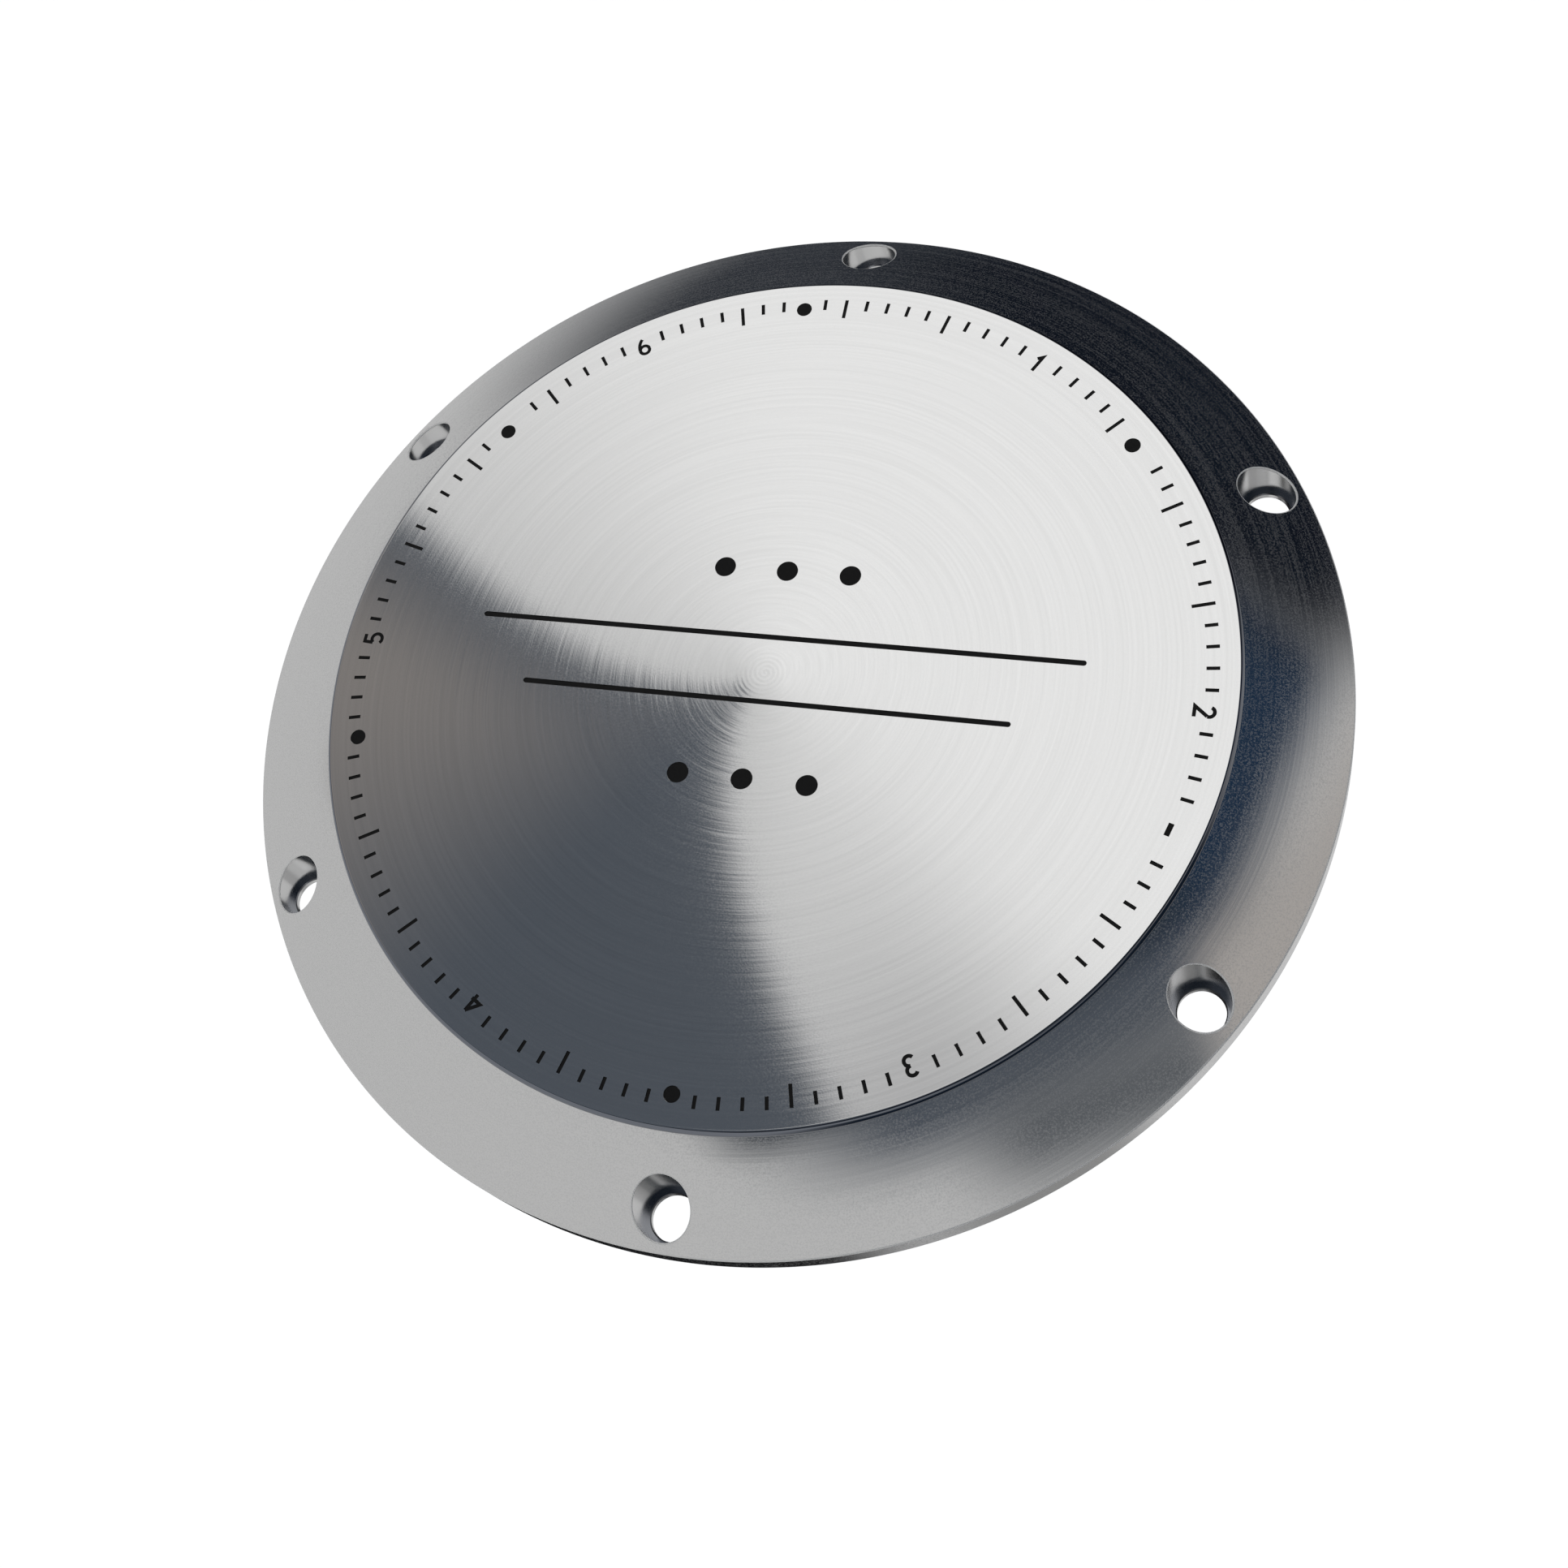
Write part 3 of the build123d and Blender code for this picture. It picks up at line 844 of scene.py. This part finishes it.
def brushed_steel():
    """316L stainless steel, faced on a lathe and brushed while it turned: fine rings round the axis
    stretch every reflection outwards into a fan, and each groove leans a little towards the rim."""
    material, tree = new_material("brushed_316l_steel")
    heading, radius, height, along = turning_coordinates(tree)
    fine = lathe_grain(tree, heading, along, FINE_GROOVE, FINE_SPREAD)
    broad = lathe_grain(tree, heading, along, BROAD_GROOVE, BROAD_SPREAD)
    # The tool's last turns wind up into a small spiral at the very centre
    x, y, _ = add(tree, "SeparateXYZ", {0: heading})
    angle = add(tree, "Math", {0: y, 1: x}, operation="ARCTAN2")[0]
    phase = {0: radius, 1: math.tau / SPIRAL_TURN, 2: angle}
    wound = add(tree, "Math", phase, operation="MULTIPLY_ADD")[0]
    wave = add(tree, "Math", {0: wound}, operation="SINE")[0]
    fading = {"Value": radius, 1: SPIRAL_FADE[0], 2: SPIRAL_FADE[1], 3: 1.0, 4: 0.0}
    near = add(tree, "MapRange", fading, interpolation_type="SMOOTHSTEP")[0]
    spiral = add(tree, "Math", {0: wave, 1: near}, operation="MULTIPLY")[0]
    # Each groove leans outwards, but not at the very centre, where the tool ran out, and most of all
    # just outside it
    onset = add(tree, "MapRange", {"Value": radius, 2: LEAN_ONSET}, interpolation_type="SMOOTHSTEP")[0]
    settling = {"Value": radius, 1: LEAN_CHANGE[0], 2: LEAN_CHANGE[1], 3: FIRST_LEAN, 4: GROOVE_LEAN}
    settled = add(tree, "MapRange", settling)[0]
    lean = add(tree, "Math", {0: onset, 1: settled}, operation="MULTIPLY")[0]
    disc_level = settings("cover_sizes").face_height - DISC_MARGIN
    on_disc = add(tree, "Math", {0: height, 1: disc_level}, operation="GREATER_THAN")[0]
    roughest, faintest, dullest = (
        add(tree, "MapRange", {"Value": on_disc, 3: flange, 4: disc})[0]
        for flange, disc in (ROUGHEST_SPECK, FAINTEST_STREAK, DULLEST_PIT)
    )
    lean = add(tree, "Math", {0: lean, 1: on_disc}, operation="MULTIPLY")[0]
    tilt = add(tree, "VectorMath", {0: heading, "Scale": lean}, operation="SCALE")[0]
    true_normal = add(tree, "NewGeometry")["Normal"]
    leaning = add(tree, "VectorMath", {0: true_normal, 1: tilt}, operation="ADD")[0]
    normal = add(tree, "VectorMath", {0: leaning}, operation="NORMALIZE")[0]
    # Fine specks of rougher metal between the rings, more of them on the flange than on the disc
    place = add(tree, "TexCoord")["Object"]
    specks = add(tree, "TexNoise", {"Vector": place, "Scale": 1 / SPECK, "Detail": 1.0})["Fac"]
    roughening = {"Value": specks, 1: SPECK_RANGE[0], 2: SPECK_RANGE[1], 3: SMOOTHEST, 4: roughest}
    roughness = add(tree, "MapRange", roughening)[0]
    relief = fine
    for layer, depth in ((broad, BROAD_DEPTH), (spiral, SPIRAL_DEPTH), (specks, SPECK_DEPTH)):
        relief = add(tree, "Math", {0: layer, 1: depth, 2: relief}, operation="MULTIPLY_ADD")[0]
    # The rings also catch the light a little unevenly, and the spiral a little with them
    streaks = add(tree, "Math", {0: spiral, 1: SPIRAL_STREAKS, 2: fine}, operation="MULTIPLY_ADD")[0]
    shading = {
        "Value": streaks, 1: STREAK_RANGE[0], 2: STREAK_RANGE[1], 3: faintest, 4: BRIGHTEST_STREAK
    }
    shade = add(tree, "MapRange", shading)[0]
    steel = finish_colour("steel")[:3]
    shaded = add(tree, "VectorMath", {0: steel, "Scale": shade}, operation="SCALE")[0]
    # The pits also scatter a little light all round, most along the rings, which shows as drawn-out
    # grain where the flange mirrors something dark
    pits = add(tree, "Math", {0: fine, 1: PIT_STREAKS, 2: specks}, operation="MULTIPLY_ADD")[0]
    dulling = {"Value": pits, 1: PIT_RANGE[0], 2: PIT_RANGE[1], 3: 1.0, 4: dullest}
    metallic = add(tree, "MapRange", dulling)[0]
    bump = add(tree, "Bump", {"Height": relief, "Distance": GRAIN_DEPTH, "Normal": normal})[0]
    tangent = add(tree, "VectorMath", {0: heading, 1: (0, 0, -1)}, operation="CROSS_PRODUCT")[0]
    shader = add(
        tree, "BsdfPrincipled",
        {
            "Base Color": shaded, "Metallic": metallic, "Roughness": roughness,
            "Anisotropic": 0.5, "Anisotropic Rotation": 0.25, "Tangent": tangent, "Normal": bump,
        },
    )[0]
    add(tree, "OutputMaterial", {0: shader})
    return material


def grained(name, finish, grain, detail, roughness, inputs, stretch=(1, 1, 1), depth=0):
    """A material with one fine grain of a given width. The grain moves the roughness between two
    values and, where it has a depth, dents the surface; the stretch packs it closer along an axis."""
    material, tree = new_material(name)
    place = add(tree, "TexCoord")["Object"]
    packed = add(tree, "VectorMath", {0: place, 1: stretch}, operation="MULTIPLY")[0]
    noise = add(tree, "TexNoise", {"Vector": packed, "Scale": 1 / grain, "Detail": detail})["Fac"]
    rough = add(tree, "MapRange", {"Value": noise, 3: roughness[0], 4: roughness[1]})[0]
    inputs = {"Base Color": finish_colour(finish), "Roughness": rough, **inputs}
    if depth:
        inputs["Normal"] = add(tree, "Bump", {"Height": noise, "Distance": depth})[0]
    shader = add(tree, "BsdfPrincipled", inputs)[0]
    add(tree, "OutputMaterial", {0: shader})
    return material


def edge_steel(name, finish, smoothest, roughest, metallic=1.0):
    """The same steel where an edge was broken, between two roughnesses: a polished one mirrors sharply
    and draws thin lines, and one rubbed matt gathers light from all round and draws a pale line, which
    its near-white colour and half-metallic shader make a painted highlight. The darker colour given to
    the disc's step is painted shade. It is worn unevenly, in patches 0.6 mm wide."""
    return grained(
        name, finish, grain=0.6 * MM, detail=2.0, roughness=(smoothest, roughest),
        inputs={"Metallic": metallic},
    )


def drilled_steel(name, finish, smoothest, roughest):
    """The same steel as a drill, an end mill and an engraving cutter leave it: satin walls with faint
    tool rings, 0.04 mm apart along the axis, and darker floors, whose darker colour is painted shade."""
    return grained(
        name, finish, grain=0.25 * MM, detail=3.0, roughness=(smoothest, roughest),
        inputs={"Metallic": 1.0}, stretch=(1, 1, 6), depth=0.001 * MM,
    )


def black_lacquer():
    """Matt black lacquer wiped into the engraving: deep black with a barely uneven, dull surface, in
    grains of 0.12 mm."""
    return grained(
        "matt_black_lacquer", "lacquer", grain=0.12 * MM, detail=3.0, roughness=(0.5, 0.68),
        inputs={"IOR": 1.5, "Specular IOR Level": 0.2}, depth=0.003 * MM,
    )


def nitrile_rubber():
    """Moulded nitrile rubber: soft black with a matt grain of 0.1 mm and a slight sheen from the
    mould."""
    return grained(
        "moulded_nitrile_rubber", "rubber", grain=0.1 * MM, detail=4.0, roughness=(0.45, 0.62),
        inputs={"IOR": 1.52}, depth=0.006 * MM,
    )


class CASEBACK_OT_cover(Operator):
    """Builds the turned cover with its holes and engraved marks"""

    bl_idname = "caseback.cover"
    bl_label = "Steel cover"

    def execute(self, context):
        shape = CoverShape()
        steel = [
            brushed_steel(),
            edge_steel("polished_316l_steel", "steel", 0.05, 0.09),
            drilled_steel("drilled_316l_steel", "steel", 0.16, 0.24),
            # Counterbores' floors: a darker grey, painted shade
            drilled_steel("end_milled_316l_steel", "counterbore_floor_shade", 0.12, 0.18),
            # Rubbed edges: near-white and half metallic, a painted highlight along the broken edges
            edge_steel("matt_rubbed_316l_steel", "broken_edge_highlight", 0.6, 0.7, metallic=0.5),
            # The disc's step: a darker, bluish grey, painted shade
            edge_steel("turned_316l_steel", "step_shade", 0.08, 0.14),
        ]
        cover = build_piece("turned_cover", cover_surfaces(shape) + disc_face(shape), steel)
        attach(cover, "cover")
        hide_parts("case_back_cover")
        return {"FINISHED"}


class CASEBACK_OT_gasket(Operator):
    """Builds the sealing ring in its groove"""

    bl_idname = "caseback.gasket"
    bl_label = "Rubber gasket"

    def execute(self, context):
        gasket = build_piece("sealing_ring", gasket_surfaces(CoverShape()), [nitrile_rubber()])
        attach(gasket, "gasket")
        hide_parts("case_back_gasket")
        return {"FINISHED"}


class CASEBACK_OT_lacquer(Operator):
    """Fills every group of engraved marks with black lacquer"""

    bl_idname = "caseback.lacquer"
    bl_label = "Lacquer in the marks"

    def execute(self, context):
        shape = CoverShape()
        lacquer = black_lacquer()
        top = shape.cover.face_height - shape.mark.lacquer_drop
        for node, outlines in mark_outlines(shape, shape.mark.lacquer_gap).items():
            surfaces = lacquer_surfaces(outlines, shape.pocket_floor, top)
            piece = build_piece(node.replace("infill", "lacquer"), surfaces, [lacquer])
            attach(piece, "cover")
            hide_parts(node)
        return {"FINISHED"}


# The studio round the object, as soft-edged cards on a distant dome, each painted over the ones
# before it. Each has the direction of its middle (azimuth from +X and elevation), its half width and
# half height, its turn about its own middle, how soft its upright and its level edges are, all in
# degrees, and its brightness. The wall is what shows between them.
STUDIO_WALL = (0.63, 0.63, 0.635)
CARDS = [
    ("overhead softbox", 97, 55, 20, 45, 32, 30, 40, (1.11, 1.11, 1.115)),
    ("grey end of the softbox", -161, 85.5, 9, 9, -49, 12, 10, (0.55, 0.55, 0.56)),
    ("dark strip past the disc's edge", 126, 19, 22, 11, 0, 16, 12, (0.04, 0.045, 0.055)),
    ("camera side", -32, 58, 33, 15, -24, 26, 16, (0.09, 0.105, 0.13)),
    ("under the camera", -36, 40, 17, 8, -26, 16, 16, (0.13, 0.14, 0.155)),
    ("warm wall on the right", 4, 19, 24, 16, -36, 10, 16, (0.5, 0.47, 0.45)),
    ("blue gap over it", 30, 45, 24, 14, -45, 16, 12, (0.015, 0.034, 0.07)),
    ("flag beyond the object", 84, 2, 44.5, 32, -26, 26, 24, (0.035, 0.04, 0.05)),
    ("middle of that flag", 72, 8, 26, 30, 24, 18, 20, (0.006, 0.009, 0.016)),
    ("dark ceiling", -178, 56.5, 18.9, 31, -43, 2, 16, (0.095, 0.11, 0.134)),
    ("warm wall under it", 164, 37, 16, 14.5, -21, 6, 17, (0.28, 0.26, 0.25)),
    ("navy cloth over the camera", -52, 72, 32, 12, 0, 12, 8, (0.02, 0.03, 0.045)),
    ("navy cloth at the camera's foot", -38, -7, 46, 34, 0, 20, 10, (0.02, 0.035, 0.06)),
    ("pale wall low in front", -48, 16, 26, 7, 0, 14, 8, (0.45, 0.45, 0.455)),
    ("dark floor past the object", 130, -48, 40, 18, 0, 10, 10, (0.05, 0.05, 0.055)),
    ("dark table below", 180, -73, 20, 14, 0, 8, 10, (0.001, 0.001, 0.002)),
    ("its near corner", -27, -63, 11, 10, 0, 8, 8, (0.35, 0.35, 0.355)),
    ("its front edge", -70, -68, 10, 7, 0, 8, 8, (0.03, 0.035, 0.04)),
    ("its lit edge", -48, -77, 7, 7, 0, 8, 8, (0.3, 0.3, 0.3)),
]


def card_mask(tree, direction, azimuth, elevation, width, height, turn, side_softness, end_softness):
    """How much of a card lies in a direction: one inside its rectangle and fading to zero outside."""
    frame_of_card = (
        Matrix.Rotation(math.radians(azimuth), 3, "Z")
        @ Matrix.Rotation(math.radians(-elevation), 3, "Y")
        @ Matrix.Rotation(math.radians(turn), 3, "X")
    )
    ahead, across, upward = frame_of_card.transposed()
    depth = add(tree, "VectorMath", {0: direction, 1: ahead}, operation="DOT_PRODUCT")["Value"]
    mask = add(tree, "Math", {0: depth, 1: 0.0}, operation="GREATER_THAN")[0]
    for axis, half, softness in ((across, width, side_softness), (upward, height, end_softness)):
        side = add(tree, "VectorMath", {0: direction, 1: axis}, operation="DOT_PRODUCT")["Value"]
        angle = add(tree, "Math", {0: side, 1: depth}, operation="ARCTAN2")[0]
        off = add(tree, "Math", {0: angle}, operation="ABSOLUTE")[0]
        full, none = math.radians(half - softness / 2), math.radians(half + softness / 2)
        fading = {"Value": off, 1: full, 2: none, 3: 1.0, 4: 0.0}
        inside = add(tree, "MapRange", fading, interpolation_type="SMOOTHSTEP")[0]
        mask = add(tree, "Math", {0: mask, 1: inside}, operation="MULTIPLY")[0]
    return mask


def studio_world():
    """A plain pale studio with soft boxes and flags, and a white background for the camera."""
    world = bpy.data.worlds.new("studio")
    world.use_nodes = True
    bpy.context.scene.world = world
    tree = world.node_tree
    tree.nodes.clear()
    direction = add(tree, "TexCoord")["Generated"]
    dome = STUDIO_WALL + (1.0,)
    for _, *placing, brightness in CARDS:
        mask = card_mask(tree, direction, *placing)
        dome = add(tree, "Mix", {0: mask, 6: dome, 7: brightness + (1.0,)}, data_type="RGBA")[2]
    studio = add(tree, "Background", {"Color": dome})[0]
    backdrop = add(tree, "Background", {"Color": (1, 1, 1, 1)})[0]
    seen = add(tree, "LightPath")["Is Camera Ray"]
    both = add(tree, "MixShader", {0: seen, 1: studio, 2: backdrop})[0]
    add(tree, "OutputWorld", {0: both})


# How much the paper adds to its own light for the camera, and how far it reaches to each side, in
# heights of the object over it
PAPER_GLOW = 0.68
PAPER_REACH = 20


def floor_material():
    """White photographer's paper, bright enough to the camera to read as a clean background."""
    material, tree = new_material("white_paper")
    paper = add(tree, "BsdfDiffuse", {"Color": linear("#F2F2F2")})[0]
    glow = add(tree, "Emission", {"Color": (1, 1, 1, 1), "Strength": PAPER_GLOW})[0]
    lit = add(tree, "AddShader", {0: paper, 1: glow})[0]
    seen = add(tree, "LightPath")["Is Camera Ray"]
    both = add(tree, "MixShader", {0: seen, 1: paper, 2: lit})[0]
    add(tree, "OutputMaterial", {0: both})
    return material


class CASEBACK_OT_stage(Operator):
    """Sets up the floor, the studio and the camera"""

    bl_idname = "caseback.stage"
    bl_label = "Stage"

    def execute(self, context):
        stage = settings("stage_settings")
        reach, low = PAPER_REACH * stage.floor_drop, -stage.floor_drop
        corners = [(-reach, -reach), (reach, -reach), (reach, reach), (-reach, reach)]
        sheet = bpy.data.meshes.new("floor")
        sheet.from_pydata([(x, y, low) for x, y in corners], [], [(0, 1, 2, 3)])
        sheet.materials.append(floor_material())
        floor = bpy.data.objects.new("floor", sheet)
        floor.visible_glossy = False
        context.scene.collection.objects.link(floor)
        floor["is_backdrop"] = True
        studio_world()
        lens = bpy.data.cameras.new("camera")
        lens.sensor_width = 36.0
        lens.lens = stage.lens
        lens.clip_start = 1 * MM
        camera = bpy.data.objects.new("camera", lens)
        camera.location = stage.camera_location
        camera.rotation_euler = Euler(stage.camera_turn)
        context.scene.collection.objects.link(camera)
        context.scene.camera = camera
        context.scene.view_settings.view_transform = "Standard"
        return {"FINISHED"}


class CASEBACK_PT_panel(Panel):
    """Lists the pieces of the case back and their sizes"""

    bl_label = "Watch case back"
    bl_idname = "CASEBACK_PT_panel"
    bl_space_type = "VIEW_3D"
    bl_region_type = "UI"
    bl_category = "Case back"

    def draw(self, context):
        for operator in OPERATORS:
            self.layout.operator(operator.bl_idname)
        for name, group in GROUPS.items():
            box = self.layout.box()
            box.label(text=group.__doc__)
            for prop in group.__annotations__:
                box.prop(getattr(context.scene, name), prop)


GROUPS = {
    "cover_sizes": CoverSizes,
    "hole_sizes": HoleSizes,
    "gasket_sizes": GasketSizes,
    "mark_sizes": MarkSizes,
    "finishes": Finishes,
    "stage_settings": StageSettings,
}
OPERATORS = (CASEBACK_OT_cover, CASEBACK_OT_gasket, CASEBACK_OT_lacquer, CASEBACK_OT_stage)


def register():
    for name, group in GROUPS.items():
        bpy.utils.register_class(group)
        setattr(bpy.types.Scene, name, PointerProperty(type=group))
    for kind in OPERATORS + (CASEBACK_PT_panel,):
        bpy.utils.register_class(kind)


def unregister():
    for kind in reversed(OPERATORS + (CASEBACK_PT_panel,)):
        bpy.utils.unregister_class(kind)
    for name, group in GROUPS.items():
        delattr(bpy.types.Scene, name)
        bpy.utils.unregister_class(group)


def main():
    register()
    bpy.ops.caseback.cover()
    bpy.ops.caseback.gasket()
    bpy.ops.caseback.lacquer()
    bpy.ops.caseback.stage()
    bpy.context.view_layer.update()
    bounds = [[list(map(float, corner)) for corner in box] for box in (cad_bounds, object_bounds())]


if __name__ == "__main__":
    main()
